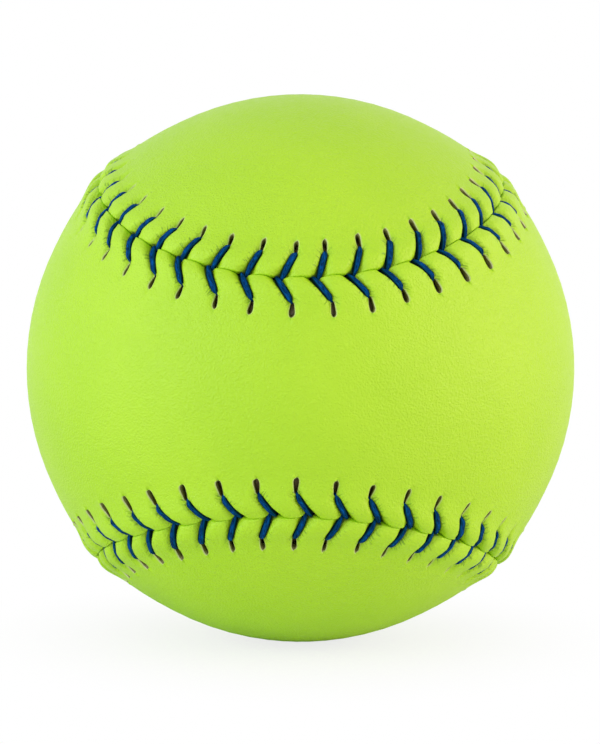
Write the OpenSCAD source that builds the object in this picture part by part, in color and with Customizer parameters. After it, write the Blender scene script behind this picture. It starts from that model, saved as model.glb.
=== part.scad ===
// Softball: a hard moulded core, cement, two waisted cover panels and two sewing threads.
// The ball's centre is the origin. The front panel's waist faces -Y and its lobes lie to -X and +X;
// the rear panel's waist faces +Y and its lobes lie to -Z and +Z. All lengths are in millimetres.

/* [Ball] */

// Distance round the smooth part of the cover
ball_circumference = 304.8; // [279:0.1:407]

/* [Cover] */

// Thickness of the cover sheet
cover_thickness = 1.6; // [1.2:0.1:2.2]
// Gap left between the cover sheet and the cement under it
seat_gap = 0.4; // [0.35:0.05:0.6]
// Rise of the raised seam edge from the stitch holes to its crest
lip_rise = 0.6; // [0.3:0.1:1]
// Distance from the seam to the crest of the raised edge
lip_distance = 2.2; // [1.8:0.1:2.6]
// Distance from the seam to the rounded shoulder of the raised edge
shoulder_distance = 1.2; // [1:0.1:1.5]
// How far the shoulder lies below the crest
shoulder_drop = 0.3; // [0.1:0.1:0.5]
// How far the panel's edge lies below the crest
edge_drop = 0.9; // [0.6:0.1:1.1]
// How much lower the raised edge is pulled where the threads cross it
lip_dip = 0.35; // [0:0.05:0.5]
// Width of the seam between two stitches
seam_gap = 0.2; // [0.1:0.05:0.3]
// How far each panel's edge is pulled back where the threads dive into the seam
stitch_notch = 0.9; // [0.85:0.05:1]
// How far the cover is pulled in at the outer ends of the stitch holes
hole_sink = 0.1; // [0:0.05:0.3]

/* [Stitches] */

// Number of stitches round the whole seam
stitch_count = 88; // [80:8:96]
// Distance from the seam to the near end of each stitch hole
hole_distance = 4; // [3.6:0.1:4.6]
// Length of each stitch hole, away from the seam
hole_length = 2.8; // [1.6:0.1:3.2]
// Width of each stitch hole
hole_width = 1.05; // [1:0.05:1.3]
// Furthest that the holes drift along the seam from even spacing
hole_drift = 1.5; // [0:0.1:1.8]
// Width of the thread on top of the lip
thread_width = 1.5; // [1.1:0.1:1.7]
// Width of the thread where it passes through a hole or the seam
thread_neck_width = 0.86; // [0.7:0.02:0.9]
// Thickness of the thread
thread_thickness = 0.8; // [0.6:0.05:0.9]
// Gap between the thread and what it lies on
thread_gap = 0.06; // [0.04:0.01:0.1]
// Gap between the thread and the roof of its channel under the cover
channel_gap = 0.2; // [0.15:0.01:0.3]
// Distance along the seam between the two threads where they cross in it
crossing_distance = 1.1; // [1.05:0.05:1.3]

/* [Inside] */

// Thickness of the cement between the core and the cover
cement_thickness = 0.25; // [0.15:0.05:0.4]

/* [Hidden] */

// Shares of the ball's radius that shape the seam
seam_sweep_share = 0.705;
seam_depth_share = 0.977;
seam_ripple_share = -0.028;
// Shares of the way from the outer ends of the holes to the middle line of a panel
panel_ring_shares = [0.29, 0.58, 0.86];
// Longitude of the middle of a panel's lobe, from the middle of its waist
lobe_longitude = 112;
// Share of the notch's depth at which the thread turns over the edge
turn_share = 0.5;
// Share of the full width that the thread has on the shoulder
shoulder_width_share = 0.8;
// Share of the full width that the thread has under the cover
hidden_width_share = 0.6;
// Shares of the last hidden run at which the thread's two ends stop
start_share = 0.62;
end_share = 0.46;
// Steps in a quarter of the seam when its length is measured
length_steps = 180;

ball_radius = ball_circumference / (2 * PI);
cement_radius = ball_radius - cover_thickness - seat_gap;
core_radius = cement_radius - cement_thickness;
thread_rest = cement_radius + thread_gap + thread_thickness / 2;
channel_roof = thread_rest + thread_thickness / 2 + channel_gap;
foot_radius = channel_roof + cover_thickness;
crest_radius = foot_radius + lip_rise;
hole_far = hole_distance + hole_length;
hole_middle_line = hole_distance + thread_thickness / 2 + 4 * thread_gap;

// The seam, as a direction from the ball's centre at an angle along it
function unit(v) = v / norm(v);
function seam_direction(s) = unit([
    seam_sweep_share * sin(s) + (1 - seam_sweep_share) * sin(3 * s) + seam_ripple_share * sin(7 * s),
    -seam_depth_share * cos(2 * s),
    seam_sweep_share * cos(s) - (1 - seam_sweep_share) * cos(3 * s) - seam_ripple_share * cos(7 * s)]);

// Lengths along a quarter of the seam, to turn a place counted in stitches into an angle
quarter_table = [for (i = 0, sum = 0; i <= length_steps;
    sum = sum + norm(seam_direction(90 * (i + 1) / length_steps) - seam_direction(90 * i / length_steps)),
    i = i + 1) [sum, 90 * i / length_steps]];
quarter_length = quarter_table[length_steps][0];
quarter_stitches = stitch_count / 4;
stitch_pitch = quarter_length * ball_radius / quarter_stitches;

function seam_angle(place) =
    let (quarter = floor(place / quarter_stitches), part = place / quarter_stitches - quarter)
    90 * quarter + lookup(part * quarter_length, quarter_table);

// A direction at a place along the seam and a distance to one side of it, positive towards the rear panel
function beside_seam(place, distance) =
    let (s = seam_angle(place), p = seam_direction(s),
        t = unit(seam_direction(s + 0.2) - seam_direction(s - 0.2)),
        angle = distance / ball_radius * 180 / PI)
    p * cos(angle) + unit(cross(p, t)) * sin(angle);

// Drift of the holes along the seam, in stitches, growing from none at the seam itself
function drift(place, distance) =
    sign(distance) * hole_drift / stitch_pitch * sin(720 * place / stitch_count)
    * min(abs(distance) / hole_distance, 1);

// Columns to a stitch: the two sides of its hole, and the dip where the threads dive
columns_per_stitch = 3;
hole_half = hole_width / 2 / stitch_pitch;
columns = [for (k = [0:stitch_count - 1]) each [k - hole_half, k + hole_half, k + 0.5]];
function in_dip(i) = i % columns_per_stitch == columns_per_stitch - 1 ? 1 : 0;

// One ring of panel points at a distance from the seam, at one radius, lowered in the dips
function band_ring(distance, radius, dip) = [for (i = [0:len(columns) - 1])
    beside_seam(columns[i] + drift(columns[i], -distance), -distance) * (radius - dip * in_dip(i))];
function edge_ring(radius, dip) = [for (i = [0:len(columns) - 1])
    let (back = in_dip(i) == 1 ? stitch_notch : seam_gap / 2)
    beside_seam(columns[i] + drift(columns[i], -back), -back) * (radius - dip * in_dip(i))];

// One ring of points further in, on the way to the panel's middle line
function inner_point(place, way, radius) =
    let (from = beside_seam(place + drift(place, -hole_far), -hole_far),
        longitude = lobe_longitude * sin(seam_angle(place)),
        to = [sin(longitude), -cos(longitude), 0],
        turn = acos(from * to))
    (from * sin((1 - way) * turn) + to * sin(way * turn)) / sin(turn) * radius;
function inner_ring(way, radius) = [for (k = [0:stitch_count - 1]) inner_point(k, way, radius)];

panel_rings = [
    band_ring(hole_far, ball_radius - cover_thickness, 0),
    band_ring(hole_distance, channel_roof, 0),
    edge_ring(channel_roof, 0),
    edge_ring(crest_radius - edge_drop, lip_dip / 2),
    band_ring(shoulder_distance, crest_radius - shoulder_drop, lip_dip),
    band_ring(lip_distance, crest_radius, lip_dip),
    band_ring(hole_distance, foot_radius, 0),
    band_ring(hole_far, ball_radius - hole_sink, 0)];
function inner_rings(radius) = [for (way = panel_ring_shares) inner_ring(way, radius)];

// Triangles of a strip between two rings of n columns, leaving out the columns between a hole's sides
function strip(a, b, n, open) = [for (i = [0:n - 1]) if (!open || i % columns_per_stitch != 0)
    let (j = (i + 1) % n) each [[a + i, b + j, b + i], [a + i, a + j, b + j]]];
// The four walls of each hole, between the under rings far and near and the top rings near and far
function hole_walls(far_under, near_under, near_top, far_top, n) = [for (i = [0:columns_per_stitch:n - 1])
    let (j = i + 1) each [
        [near_under + i, near_top + i, near_top + j], [near_under + i, near_top + j, near_under + j],
        [far_under + i, far_top + j, far_top + i], [far_under + i, far_under + j, far_top + j],
        [far_under + i, near_top + i, near_under + i], [far_under + i, far_top + i, near_top + i],
        [far_under + j, near_under + j, near_top + j], [far_under + j, near_top + j, far_top + j]]];
// From three columns a stitch to one
function thin_out(a, b, n) = [for (k = [0:n - 1])
    let (m = (k + 1) % n, i = a + columns_per_stitch * k, h = a + columns_per_stitch * m) each
    [[i, i + 1, b + k], [i + 1, i + 2, b + k], [i + 2, h, b + m], [i + 2, b + m, b + k]]];
// Across the panel's middle line, joining each point to its mirror on the other side
function close_across(a, n) = let (q = n / 4) [for (j = [-q:q - 1])
    let (p0 = a + (j + n) % n, p1 = a + (j + 1 + n) % n,
        m0 = a + (n / 2 - j) % n, m1 = a + (n / 2 - j - 1 + n) % n)
    each j == -q ? [[p0, p1, m1]] : j == q - 1 ? [[p0, p1, m0]] : [[p0, p1, m1], [p0, m1, m0]]];
function flipped(faces) = [for (f = faces) [f[0], f[2], f[1]]];
function face_of_panel(a, b, n) = let (last = len(panel_ring_shares) - 1) concat(thin_out(a, b, n),
    [for (i = [0:last - 1]) each strip(b + i * n, b + (i + 1) * n, n, false)],
    close_across(b + last * n, n));

module cover_panel() {
    n = stitch_count;
    w = columns_per_stitch * n;
    inner = len(panel_ring_shares) * n;
    points = concat([for (r = panel_rings) each r],
        [for (r = inner_rings(ball_radius)) each r],
        [for (r = inner_rings(ball_radius - cover_thickness)) each r]);
    faces = concat(
        strip(0, w, w, true),
        [for (i = [1:5]) each strip(i * w, (i + 1) * w, w, false)],
        strip(6 * w, 7 * w, w, true),
        hole_walls(0, w, 6 * w, 7 * w, w),
        face_of_panel(7 * w, 8 * w, n),
        flipped(face_of_panel(0, 8 * w + inner, n)));
    polyhedron(points, faces, convexity = 10);
}

// One stitch of thread: up out of a hole, over the lip, down through the seam and on under the other panel
function foot_place(k, side) = k + drift(k, side * hole_distance);
function dive_place(k, side) = k - 0.5 + side * crossing_distance / 2 / stitch_pitch;
function along(from, to, way) = from + (to - from) * way;
function thread_stitch(k, side) =
    let (start = foot_place(k, side), dive = dive_place(k, side), end = foot_place(k - 1, -side),
        turn = stitch_notch * turn_share,
        crest_place = along(dive, start, lip_distance / hole_middle_line),
        dip_part = min(1, abs(k - crest_place + drift(crest_place, side * lip_distance)) * 2))
    [[start, side * hole_middle_line, foot_radius + thread_gap + thread_thickness * 0.6, thread_neck_width],
     [crest_place, side * lip_distance,
        crest_radius - lip_dip * dip_part + thread_gap * 2 + thread_thickness / 2, thread_width],
     [along(dive, start, turn / hole_middle_line), side * turn,
        crest_radius - shoulder_drop - lip_dip + thread_gap + thread_thickness / 2,
        thread_width * shoulder_width_share],
     [dive, 0, (crest_radius - shoulder_drop - lip_dip + thread_rest) / 2 + thread_thickness / 4,
        thread_neck_width],
     [along(dive, end, turn / hole_middle_line), -side * turn, thread_rest,
        thread_width * hidden_width_share],
     [end, -side * hole_middle_line, thread_rest, thread_neck_width]];

// Both cut ends lie under the cover in the last run to the first hole, knotted just short of each other
function hidden_end(side, way) =
    [along(dive_place(1, -side), foot_place(0, side), way), along(0, side * hole_middle_line, way),
        thread_rest, thread_width * hidden_width_share];
function thread_route(side) = concat(
    [hidden_end(side, start_share), [foot_place(0, side), side * hole_middle_line, thread_rest,
        thread_neck_width]],
    [for (j = [0:stitch_count - 1], q = [0:5]) if (j < stitch_count - 1 || q < 5)
        thread_stitch(-j, j % 2 == 0 ? side : -side)[q]],
    [hidden_end(side, end_share)]);
function place_of(q) = beside_seam(q[0], q[1]) * q[2];

// Five points round the thread, flat towards the ball's centre
section = [for (i = [0:4]) [cos(72 * i + 18), sin(72 * i + 18)] / cos(18)];
function thread_ring(p, before, after, width) =
    let (t = unit(unit(p - before) + unit(after - p)), w = unit(cross(t, p)), n = cross(w, t))
    [for (q = section) p + w * q[0] * width / 2 + n * q[1] * thread_thickness / 2];

module thread(side) {
    route = thread_route(side);
    points = [for (q = route) place_of(q)];
    last = len(points) - 1;
    rings = [for (i = [0:last]) thread_ring(points[i],
        i == 0 ? points[i] * 2 - points[i + 1] : points[i - 1],
        i == last ? points[i] * 2 - points[i - 1] : points[i + 1], route[i][3])];
    sides = len(section);
    faces = concat(
        [for (i = [0:last - 1]) let (a = i * sides, b = a + sides, skip = i % 6 == 1 ? 2 : 0)
            for (j = [0:sides - 1]) let (k = (j + 1) % sides, m = (j + skip) % sides, o = (k + skip) % sides)
                each [[a + j, b + o, b + m], [a + j, a + k, b + o]]],
        [[for (j = [sides - 1:-1:0]) j], [for (j = [0:sides - 1]) last * sides + j]]);
    polyhedron([for (r = rings) each r], faces, convexity = 10);
}

module core() {
    color("Wheat") sphere(r = core_radius, $fn = 96);
}

module cement_layer() {
    color("Khaki") difference() {
        sphere(r = cement_radius, $fn = 96);
        sphere(r = core_radius, $fn = 96);
    }
}

module front_cover_panel() {
    color("YellowGreen") cover_panel();
}

module rear_cover_panel() {
    color("GreenYellow") rotate(a = 180, v = [1, 0, 1]) cover_panel();
}

module first_thread() {
    color("RoyalBlue") thread(1);
}

module second_thread() {
    color("MidnightBlue") thread(-1);
}

core();
cement_layer();
front_cover_panel();
rear_cover_panel();
first_thread();
second_thread();
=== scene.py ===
"""The looks of a softball: a leather cover of two panels, sewn with raised stitches round its core."""

import math

import bmesh
import bpy
import numpy as np
from bpy.props import FloatProperty, FloatVectorProperty, IntProperty, PointerProperty
from mathutils import Matrix, Vector


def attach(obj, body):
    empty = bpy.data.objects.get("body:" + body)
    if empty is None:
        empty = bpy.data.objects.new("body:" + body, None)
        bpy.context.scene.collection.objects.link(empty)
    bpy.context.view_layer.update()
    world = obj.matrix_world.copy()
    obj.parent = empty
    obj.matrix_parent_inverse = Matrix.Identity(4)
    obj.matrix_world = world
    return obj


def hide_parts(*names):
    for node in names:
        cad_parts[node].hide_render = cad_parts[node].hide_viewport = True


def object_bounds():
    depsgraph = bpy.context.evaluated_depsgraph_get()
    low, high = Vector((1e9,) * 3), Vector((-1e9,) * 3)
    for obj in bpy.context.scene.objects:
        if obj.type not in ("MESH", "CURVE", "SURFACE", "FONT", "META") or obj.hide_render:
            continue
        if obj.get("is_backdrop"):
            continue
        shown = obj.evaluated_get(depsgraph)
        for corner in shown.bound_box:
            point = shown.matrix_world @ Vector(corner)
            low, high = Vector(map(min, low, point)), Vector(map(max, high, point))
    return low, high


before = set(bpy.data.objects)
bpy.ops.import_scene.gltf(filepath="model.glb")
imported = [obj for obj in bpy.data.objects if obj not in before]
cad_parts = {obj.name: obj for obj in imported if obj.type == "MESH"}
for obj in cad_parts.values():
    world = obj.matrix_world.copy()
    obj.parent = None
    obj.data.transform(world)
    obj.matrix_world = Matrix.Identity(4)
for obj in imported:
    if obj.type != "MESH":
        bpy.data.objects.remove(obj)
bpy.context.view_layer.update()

bl_info = {
    "name": "Sewn Softball",
    "version": (1, 0, 0),
    "blender": (4, 5, 0),
    "location": "View3D > Sidebar > Softball",
    "description": "Dresses the softball's solids with a grained leather cover and raised stitching",
    "category": "Add Mesh",
}

MM = 0.001  # metres in a millimetre
FRONT, REAR = -1, 1  # the side of the seam that each panel lies on
PICTURE, FOCAL = 744, 3550  # the picture's long side and the camera's focal length, in pixels
SEAM_SAMPLES = 28160  # samples of the seam's curve for its length
LOOK_AHEAD = 1e-4  # radians, for the seam's direction
MERGE = 0.002 * MM  # points closer than this are one

# The columns of a panel's grid, from one stitch's middle line out to half-way to the next
LEG_COLUMNS = np.array([0, 0.2, 0.4, 0.62, 0.86, 1.15, 1.55, 2.15]) * MM
# The same columns round a hole: a share of the hole's half width, and a distance past its rim
HOLE_SHARES = np.array([0, 0.3, 0.6, 1, 1, 1, 1, 1])
HOLE_PASTS = np.array([0, 0, 0, 0, 0.07, 0.28, 0.75, 1.4]) * MM
HALF = len(LEG_COLUMNS)  # columns in half a stitch
COLUMNS = 2 * HALF  # columns in a stitch
RIM = 3  # the column of the hole's rim
UNDER_COLUMN = HALF // 2  # the one column that the underside keeps on each side of a hole
TOP_THIN = 4  # grid columns that run together away from the seam
MOST_PART = 0.97  # how near to half-way between two legs the columns in between may come

# Rows of a panel's grid: distances from the seam, or shares of a hole's length or of the way to the spine
WALL_ROWS = np.array([0.05, 0.03, 0.03]) * MM  # up the cut edge at the seam
WALL_HEIGHTS = np.array([-0.45, 0.02]) * MM  # of its upper two rows, and the lowest keeps to the underside
LIP_ROWS = np.array([0.04, 0.08, 0.15, 0.25, 0.4, 0.62, 0.92, 1.3, 1.7, 2.1, 2.5, 2.9, 3.25, 3.55]) * MM
HOLE_ROWS = np.array([0, 0.03, 0.1, 0.2, 0.32, 0.44, 0.56, 0.66, 0.75, 0.83, 0.9, 0.95, 0.982, 1])
OUTER_ROWS = np.array([6.95, 7.25, 7.7, 8.4, 9.2, 10.2]) * MM
BAND = OUTER_ROWS[-1]  # how far the sewn band reaches from the seam
TOP_SHARES = np.array([0.1, 0.21, 0.33, 0.45, 0.57, 0.69, 0.8, 0.9, 1])
UNDER_SHARES = np.array([1, 0.75, 0.5, 0.25])
UNDER_ROWS = np.array([BAND / MM, 7.0, 3.9, 1.6]) * MM
UNDER_HOLE = 1  # the row of the underside at the outer side of a hole, and the next is at its near side
UNDER_HALF_WIDTH = 0.85 * MM  # half the width of a hole on the underside

# The middle line of a panel
SPINE_END = math.radians(112)  # how far it runs round the ball from its middle
SPINE_BEND = 0.93  # how much its points crowd towards its ends, from 0, evenly spaced, to 1

# How the sewing of the two sides differs
HOLE_DRIFT = {FRONT: (-0.225, -0.070), REAR: (0.16, -0.06)}  # stitches ahead: swing round the ball, and mean
HOLE_WIDTH = {FRONT: 1, REAR: 0.78}  # share of the greatest width of a hole
# How much farther out the holes lie a quarter of the way round the seam, and twice that half-way round it
HOLE_SWING = {FRONT: 0.24 * MM, REAR: 0.05 * MM}
LEG_STRETCH = {FRONT: 0.95, REAR: 1.05}  # length of a leg as a share of its route
WIDTH_PLACE = {FRONT: 1, REAR: 0.92}  # the rear legs taper farther out than the front ones

# Places and distances of the sewing
SEWING_SHIFT = 0.014  # how far the whole sewing is moved ahead along the seam, in stitches
TIP_SPREAD = 0.02  # irregularity of the tips, in stitches
FRONT_TIP = 0.25  # how far the front legs' tips lie behind, as a share of tip_shift
FRONT_TIP_REACH = 3.2 * MM  # distance from the seam at which that has gone
PULL_PLACE, PULL_SPREAD = 6.3 * MM, 1.6 * MM  # where the reach of a hole moves the leather most
WANDER_FADE = 1.5 * MM  # how fast the wandering of the seam line fades out beside it
OPENING_AHEAD, OPENING_BEHIND = 0.6 * MM, 1.2 * MM  # length of the opening at a tip, both ways from it
OPENING_FADE = 0.6 * MM  # how fast that opening fades out beside the seam
HOLE_WIDEST = 0.74  # share of a hole's length at which it is widest
LEAST_HALF_WIDTH = 0.05 * MM  # of a hole at its ends
TO_HOLE = 3.3 * MM  # from here to its near end, the columns leave the leg for the hole's rim
EVEN_AFTER, EVEN_BEFORE = 0.1 * MM, 0.5 * MM  # they spread evenly from a hole's end to the band's

# Heights of the leather. A pair of distances from the seam is where a change begins and where it ends.
SWELL_FALLS = 4 * MM  # the swell is whole up to here
LIP_INSIDE = 0.8  # spread of a lip towards the seam, as a share of its spread outwards
GROOVE_SHALLOWS, GROOVE_ENDS = (2.4 * MM, 4.8 * MM), (4.4 * MM, 7.5 * MM)  # to half as deep, and to none
GROOVE_FOOT = 0.25 * MM  # half the width of a groove's flat foot
GROOVE_WIDENING, WIDENING_FADE = 0.7, 1.5 * MM  # how much wider it is at the seam, and how fast that fades
PRESSED_BEYOND = 0.22  # share of its depth that reaches beyond its sides
PINCH_DROP = 0.35 * MM  # how far the lips are pinched down at a tip
PINCH_PART, PINCH_FADE = 0.4, 1.0 * MM  # how fast that fades out, towards half-way and beside the seam
UNEVEN_RISE = 0.08 * MM  # how much the lips differ in height round the ball
UNEVEN_WAVES = (13, 29, 61)  # waves of that difference round the seam
RIM_LEAN, LEAN_FADE = 0.17 * MM, 1.0 * MM  # how far a hole's rims rise and drop, and how fast that fades
LEAN_BEGINS, LEAN_ENDS = (3.4 * MM, 4.6 * MM), (6.9 * MM, 7.6 * MM)
WALL_CLEAR = 0.1 * MM  # how far the cut edge's rows stay under the lip
ROOF_BEND = 0.45  # rise of the underside at a hole, as a share of its rise over the threads
PIT_HEIGHT = 0.35 * MM  # foot of a hole's walls, over the underside
PIT_SLOPE = 0.65 * MM  # how far the outer end of a hole slopes in towards its foot
PIT_SLOPE_START = 0.55  # share of a hole's length at which that begins

# The painted shade at a leg's sides and the painted highlight along a hole's rim, for the material
SHADE_SIDES, SHADE_ENDS = (0.45 * MM, 0.85 * MM), (3.7 * MM, 4.3 * MM)  # out from its middle, and along it
SHADE_WIDENING, SHADE_NARROWS = 0.08 * MM, (0.4 * MM, 2.6 * MM)  # how much wider it is at the seam
SHADE_LEG, SHADE_AHEAD = 0.8, 0.5  # its strength, and the share of that ahead of a leg
RIM_HIGHLIGHT_START = 0.12  # share of a hole's length at which its pale rim begins

# A thread's route for one stitch: distance from the seam on the stitch's own side, and height over the ball,
# in millimetres. Where the height is None the thread rides on the leather.
ROUTE = [(2.3, -1.52), (3.4, -1.47), (4.0, -1.18), (4.3, -0.76), (4.27, -0.32), (4.06, 0.06), (3.7, None),
         (3.25, None), (2.8, None), (2.3, None), (1.8, None), (1.3, None), (0.85, None), (0.45, None),
         (0.1, -0.4), (-0.18, -0.9), (-0.9, -1.4)]
ROUTE_STEPS = 2  # rings from one point of the route to the next
SIDES = 14  # sides of a thread
LEG_LIFT = 0.44  # height of a leg's middle over its groove, as a share of its thickness
BURIED = 0.78  # thickness under the leather, as a share of a leg's
WIDENS_FROM_TIP, NARROWS_TO_HOLE = (-0.1 * MM, 1.5 * MM), (3.2 * MM, 4.4 * MM)  # distances from the seam
THINS_TO_HOLE, THINNER = (3.0 * MM, 4.3 * MM), 0.38  # where a leg gets thinner, and by what share
COMES_AHEAD = 0.25  # how far ahead of a hole the thread comes from, in stitches


# Sizes and colours

class SeamSizes(bpy.types.PropertyGroup):
    """The ball and the line on which its two panels meet."""
    ball_radius: FloatProperty(
        name="Ball radius", description="Radius of the smooth cover", default=48.51 * MM, unit="LENGTH")
    sweep_share: FloatProperty(
        name="Seam sweep", description="Share of the seam's first turn", default=0.7062)
    depth_share: FloatProperty(
        name="Seam depth", description="How far the seam swings front to back", default=0.9868)
    ripple_share: FloatProperty(
        name="Seam ripple", description="Share of the seam's seventh turn", default=-0.0283)
    stitch_count: IntProperty(
        name="Stitches", description="Stitches on each panel", default=88)
    wave: FloatProperty(
        name="Seam wave", description="How far the seam line wanders between stitches",
        default=0.10 * MM, unit="LENGTH")


class CoverSizes(bpy.types.PropertyGroup):
    """The leather panels, their lips and their stitch holes."""
    thickness: FloatProperty(
        name="Thickness", description="Thickness of the leather", default=1.6 * MM, unit="LENGTH")
    channel: FloatProperty(
        name="Thread channel", description="How far the underside is raised over the threads",
        default=0.66 * MM, unit="LENGTH")
    swell: FloatProperty(
        name="Swell", description="How far the leather stands over the ball beside the lips",
        default=0.3 * MM, unit="LENGTH")
    swell_end: FloatProperty(
        name="Swell end", description="Distance from the seam at which the swell has gone",
        default=17 * MM, unit="LENGTH")
    lip_rise: FloatProperty(
        name="Lip rise", description="Height of the lips over the ball", default=1.25 * MM, unit="LENGTH")
    lip_distance: FloatProperty(
        name="Lip distance", description="From the seam to the crest of a lip",
        default=1.9 * MM, unit="LENGTH")
    lip_spread: FloatProperty(
        name="Lip spread", description="Width over which a lip falls away outwards",
        default=3.0 * MM, unit="LENGTH")
    edge_drop: FloatProperty(
        name="Edge drop", description="How far the leather rolls down at the seam",
        default=0.22 * MM, unit="LENGTH")
    edge_width: FloatProperty(
        name="Edge width", description="Width of the rolled edge", default=0.22 * MM, unit="LENGTH")
    groove_depth: FloatProperty(
        name="Groove depth", description="How deep a thread presses into a lip",
        default=1.4 * MM, unit="LENGTH")
    groove_width: FloatProperty(
        name="Groove width", description="From a thread's middle to the top of the groove",
        default=1.0 * MM, unit="LENGTH")
    pinch: FloatProperty(
        name="Pinch", description="How far the edge opens where the threads dive",
        default=0.34 * MM, unit="LENGTH")
    hole_distance: FloatProperty(
        name="Hole distance", description="From the seam to the near end of a hole",
        default=3.8 * MM, unit="LENGTH")
    hole_length: FloatProperty(
        name="Hole length", description="Length of a hole away from the seam",
        default=3.0 * MM, unit="LENGTH")
    hole_width: FloatProperty(
        name="Hole width", description="Greatest width of a hole", default=1.0 * MM, unit="LENGTH")
    slit_width: FloatProperty(
        name="Slit width", description="Width of a hole at its near end", default=0.48 * MM, unit="LENGTH")
    light_colour: FloatVectorProperty(
        name="Light leather", description="Lighter tone of the leather",
        subtype="COLOR", size=3, default=(0.445, 0.775, 0.012))
    deep_colour: FloatVectorProperty(
        name="Deep leather", description="Deeper tone of the leather",
        subtype="COLOR", size=3, default=(0.415, 0.745, 0.008))
    # Painted shade in the creases beside the threads
    crease_shade_colour: FloatVectorProperty(
        name="Creases", description="Leather in a crease",
        subtype="COLOR", size=3, default=(0.14, 0.37, 0.006))
    # Painted shade: near-black green laid on the leather at a thread's foot and where the edge opens at a
    # tip
    foot_shade_colour: FloatVectorProperty(
        name="Groove foot", description="Leather at the foot of a thread",
        subtype="COLOR", size=3, default=(0.006, 0.045, 0.008))
    # The backing's colour of the cut edge, also laid round a hole's rim as a painted highlight
    backing_and_highlight_colour: FloatVectorProperty(
        name="Backing", description="Cut edge of the leather",
        subtype="COLOR", size=3, default=(0.62, 0.68, 0.36))
    # Painted shade inside the holes, lighter at a hole's outer end where its sloping wall catches the light
    outer_shade: FloatVectorProperty(
        name="Hole end", description="Inside a hole at its outer end",
        subtype="COLOR", size=3, default=(0.16, 0.165, 0.035))
    shade_colour: FloatVectorProperty(
        name="Hole shade", description="Deep inside a hole",
        subtype="COLOR", size=3, default=(0.09, 0.088, 0.010))


class StitchSizes(bpy.types.PropertyGroup):
    """The two threads and how evenly they are sewn."""
    leg_reach: FloatProperty(
        name="Leg reach", description="Distance over which a leg runs to its hole",
        default=4.4 * MM, unit="LENGTH")
    tip_shift: FloatProperty(
        name="Tip shift", description="How far the rear legs' tips lie ahead, in stitches", default=0.11)
    width: FloatProperty(
        name="Width", description="Greatest width of a leg", default=1.16 * MM, unit="LENGTH")
    tip_width: FloatProperty(
        name="Tip width", description="Width where a leg dives", default=0.8 * MM, unit="LENGTH")
    hole_width: FloatProperty(
        name="Hole end width", description="Width where a leg leaves its hole",
        default=0.58 * MM, unit="LENGTH")
    thickness: FloatProperty(
        name="Thickness", description="Thickness of a leg", default=1.08 * MM, unit="LENGTH")
    ply_count: IntProperty(
        name="Plies", description="Strands twisted into a thread", default=3)
    ply_relief: FloatProperty(
        name="Ply relief", description="How far the strands stand out, as a share", default=0.07)
    twist_length: FloatProperty(
        name="Twist length", description="Length of one turn of the strands",
        default=18 * MM, unit="LENGTH")
    seed: IntProperty(
        name="Seed", description="Start of the sewing's irregularity", default=12)
    shift_spread: FloatProperty(
        name="Shift spread", description="Irregularity of the holes, in stitches", default=0.03)
    reach_spread: FloatProperty(
        name="Reach spread", description="Irregularity of the holes' distance",
        default=0.12 * MM, unit="LENGTH")
    size_spread: FloatProperty(
        name="Size spread", description="Irregularity of widths, as a share", default=0.07)
    # Painted shade down a leg's slopes and at its sides
    flank_shade_colour: FloatVectorProperty(
        name="Thread flank", description="The slopes of a leg",
        subtype="COLOR", size=3, default=(0.001, 0.078, 0.19))
    side_shade_colour: FloatVectorProperty(
        name="Thread edge", description="The sides of a leg, in its groove",
        subtype="COLOR", size=3, default=(0.0004, 0.010, 0.016))
    dark_colour: FloatVectorProperty(
        name="Dark thread", description="Darker strands",
        subtype="COLOR", size=3, default=(0.0005, 0.017, 0.060))
    light_colour: FloatVectorProperty(
        name="Light thread", description="Lighter strands",
        subtype="COLOR", size=3, default=(0.0018, 0.118, 0.50))


class CoreColours(bpy.types.PropertyGroup):
    """The core and the cement on it."""
    core_dark: FloatVectorProperty(
        name="Dark core", description="Darker tone of the core",
        subtype="COLOR", size=3, default=(0.52, 0.46, 0.31))
    core_light: FloatVectorProperty(
        name="Light core", description="Lighter tone of the core",
        subtype="COLOR", size=3, default=(0.66, 0.61, 0.45))
    cement_dark: FloatVectorProperty(
        name="Dark cement", description="Darker streaks of the cement",
        subtype="COLOR", size=3, default=(0.40, 0.30, 0.12))
    cement_light: FloatVectorProperty(
        name="Light cement", description="Lighter streaks of the cement",
        subtype="COLOR", size=3, default=(0.58, 0.46, 0.22))


class StageSizes(bpy.types.PropertyGroup):
    """The camera, the lamps and the floor."""
    distance: FloatProperty(
        name="Distance", description="From the camera to the ball's middle", default=0.6306, unit="LENGTH")
    elevation: FloatProperty(
        name="Elevation", description="Camera above the horizon",
        default=math.radians(6.31), subtype="ANGLE")
    azimuth: FloatProperty(
        name="Azimuth", description="Camera round the ball", default=math.radians(1.34), subtype="ANGLE")
    roll: FloatProperty(
        name="Roll", description="Camera's own tilt", default=math.radians(0.573), subtype="ANGLE")
    focal_share: FloatProperty(
        name="Focal share", description="Focal length over the picture's long side", default=FOCAL / PICTURE)
    key_power: FloatProperty(
        name="Key lamp", description="Lamp above the camera", default=0.8, unit="POWER")
    side_power: FloatProperty(
        name="Side lamps", description="Lamps at both sides", default=5.2, unit="POWER")
    ambient: FloatProperty(
        name="Ambient", description="Strength of the light from all round", default=0.6)
    floor_colour: FloatVectorProperty(
        name="Floor", description="Pale floor", subtype="COLOR", size=3, default=(0.95, 0.95, 0.95))


# The seam

def unit(vectors):
    """The same directions with a length of one."""
    return vectors / np.linalg.norm(vectors, axis=-1, keepdims=True)


def lengths(points):
    """Length of a path up to each of its points."""
    return np.concatenate([[0], np.cumsum(np.linalg.norm(np.diff(points, axis=0), axis=1))])


def ease(value, start, end):
    """0 up to start, 1 from end, and a smooth step between them."""
    share = np.clip((value - start) / (end - start), 0, 1)
    return share * share * (3 - 2 * share)


def spread(draws, count, amount):
    """Random differences from stitch to stitch, none of them far from the rest."""
    return np.clip(draws.normal(0, 1, count), -2, 2) * amount


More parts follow.
